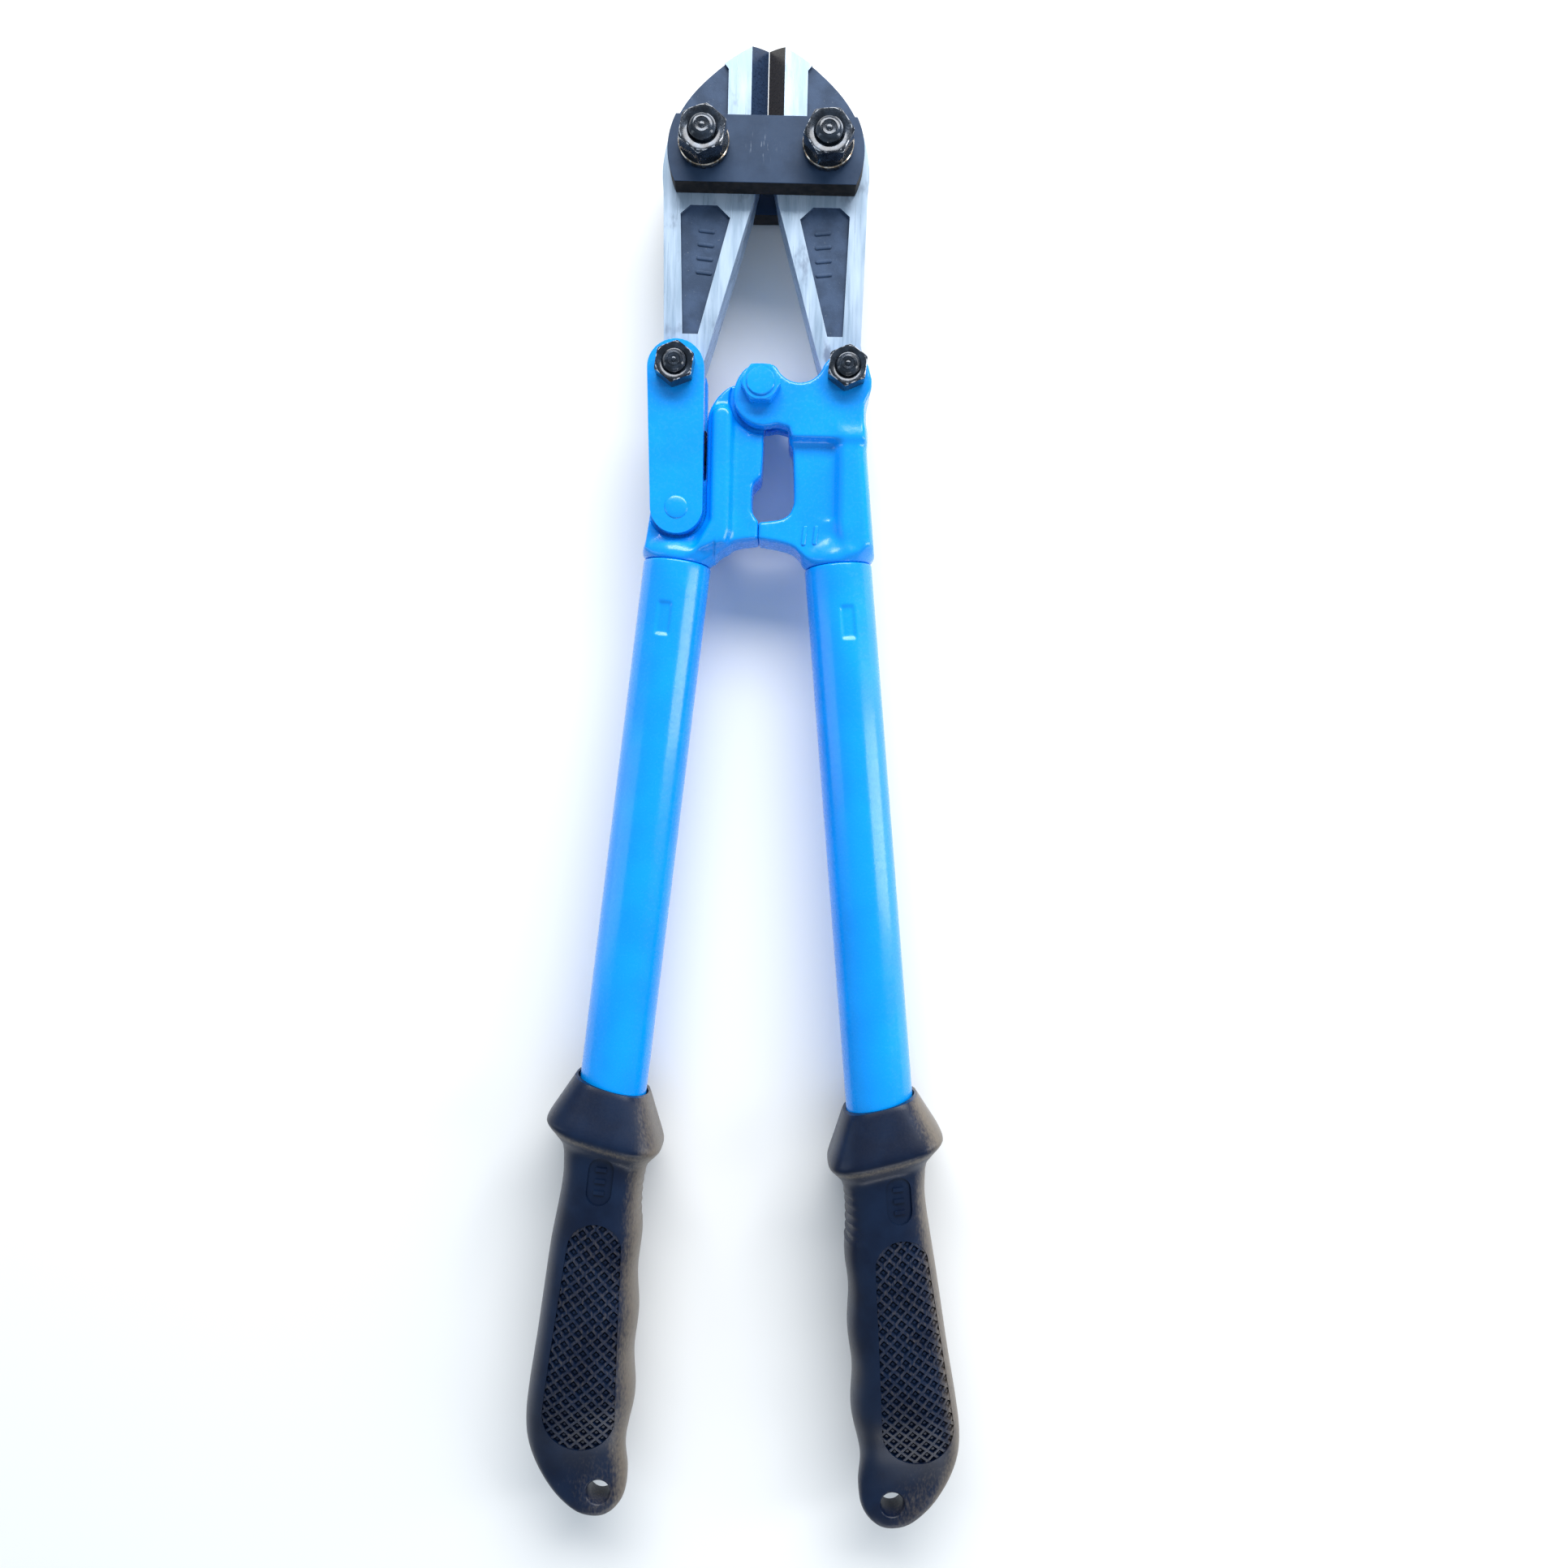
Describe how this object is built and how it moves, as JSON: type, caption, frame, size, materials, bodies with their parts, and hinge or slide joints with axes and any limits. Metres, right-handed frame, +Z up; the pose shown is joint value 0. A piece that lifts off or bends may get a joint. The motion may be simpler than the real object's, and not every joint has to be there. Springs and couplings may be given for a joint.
{
  "type": "bolt cutters",
  "caption": "Hand bolt cutters with centre-cut jaws, two head plates, compound levers and long tubular handles with moulded grips; shown closed.",
  "frame": {"origin": "middle of the tool's length and width, on the surface it lies on", "axes": "+Y from the grips towards the jaws, +X to the right with the jaws up the page, +Z up from the surface"},
  "size_m": [0.1329, 0.4517, 0.0419],
  "materials": {
    "jaw_steel": "ground, with dark recessed panels",
    "black_oxide": "black oxide with bright worn edges",
    "black_steel": "glossy blackened fasteners",
    "bronze_edge": "plated washer with a bright edge",
    "blue_paint": "glossy azure enamel",
    "grip_rubber": "matt black moulded grip"
  },
  "bodies": {
    "head": {"front_plate": "black_oxide", "back_plate": "black_oxide", "jaw_bolts": "black_steel", "jaw_nuts": "black_steel", "jaw_flat_washers": "bronze_edge", "jaw_tooth_washers": "black_steel"},
    "left_jaw": {"left_jaw": "jaw_steel"},
    "right_jaw": {"right_jaw": "jaw_steel"},
    "left_links": {"front_link": "blue_paint", "back_link": "blue_paint", "link_rivet": "blue_paint", "left_toggle_bolt": "black_steel", "left_toggle_nut": "black_steel", "adjuster_block": "black_steel", "adjuster_screw": "black_steel", "adjuster_lock_nut": "black_steel"},
    "left_lever": {"left_head": "blue_paint", "left_tube": "blue_paint", "left_grip": "grip_rubber"},
    "right_lever": {"right_head": "blue_paint", "right_tube": "blue_paint", "right_grip": "grip_rubber", "right_toggle_bolt": "black_steel", "right_toggle_nut": "black_steel", "centre_bolt": "blue_paint", "centre_nut": "blue_paint"}
  },
  "joints": [
    {"name": "right_jaw_pivot", "type": "hinge", "parent": "head", "child": "right_jaw", "pos_m": [0.0184, 0.1899, 0.0184], "axis": [0, 0, 1], "range_deg": [-6.87, 0]},
    {"name": "left_jaw_pivot", "type": "hinge", "parent": "head", "child": "left_jaw", "pos_m": [-0.0184, 0.1899, 0.0184], "axis": [0, 0, 1], "range_deg": [0, 6.87]},
    {"name": "handles", "type": "hinge", "parent": "right_jaw", "child": "right_lever", "pos_m": [0.0256, 0.1244, 0.0184], "axis": [0, 0, 1], "range_deg": [0, 45]},
    {"name": "left_toggle", "type": "hinge", "parent": "left_jaw", "child": "left_links", "pos_m": [-0.0256, 0.1244, 0.0184], "axis": [0, 0, 1], "range_deg": [-45, 0]},
    {"name": "link_adjust", "type": "hinge", "parent": "left_links", "child": "left_lever", "pos_m": [-0.0245, 0.0826, 0.0184], "axis": [0, 0, 1], "range_deg": [-0.6, 0]}
  ],
  "couplings": [
    {"joint": "right_jaw_pivot", "follows": "handles", "ratio": -0.1525},
    {"joint": "left_jaw_pivot", "follows": "handles", "ratio": 0.1525},
    {"joint": "left_toggle", "follows": "handles", "ratio": -1}
  ]
}
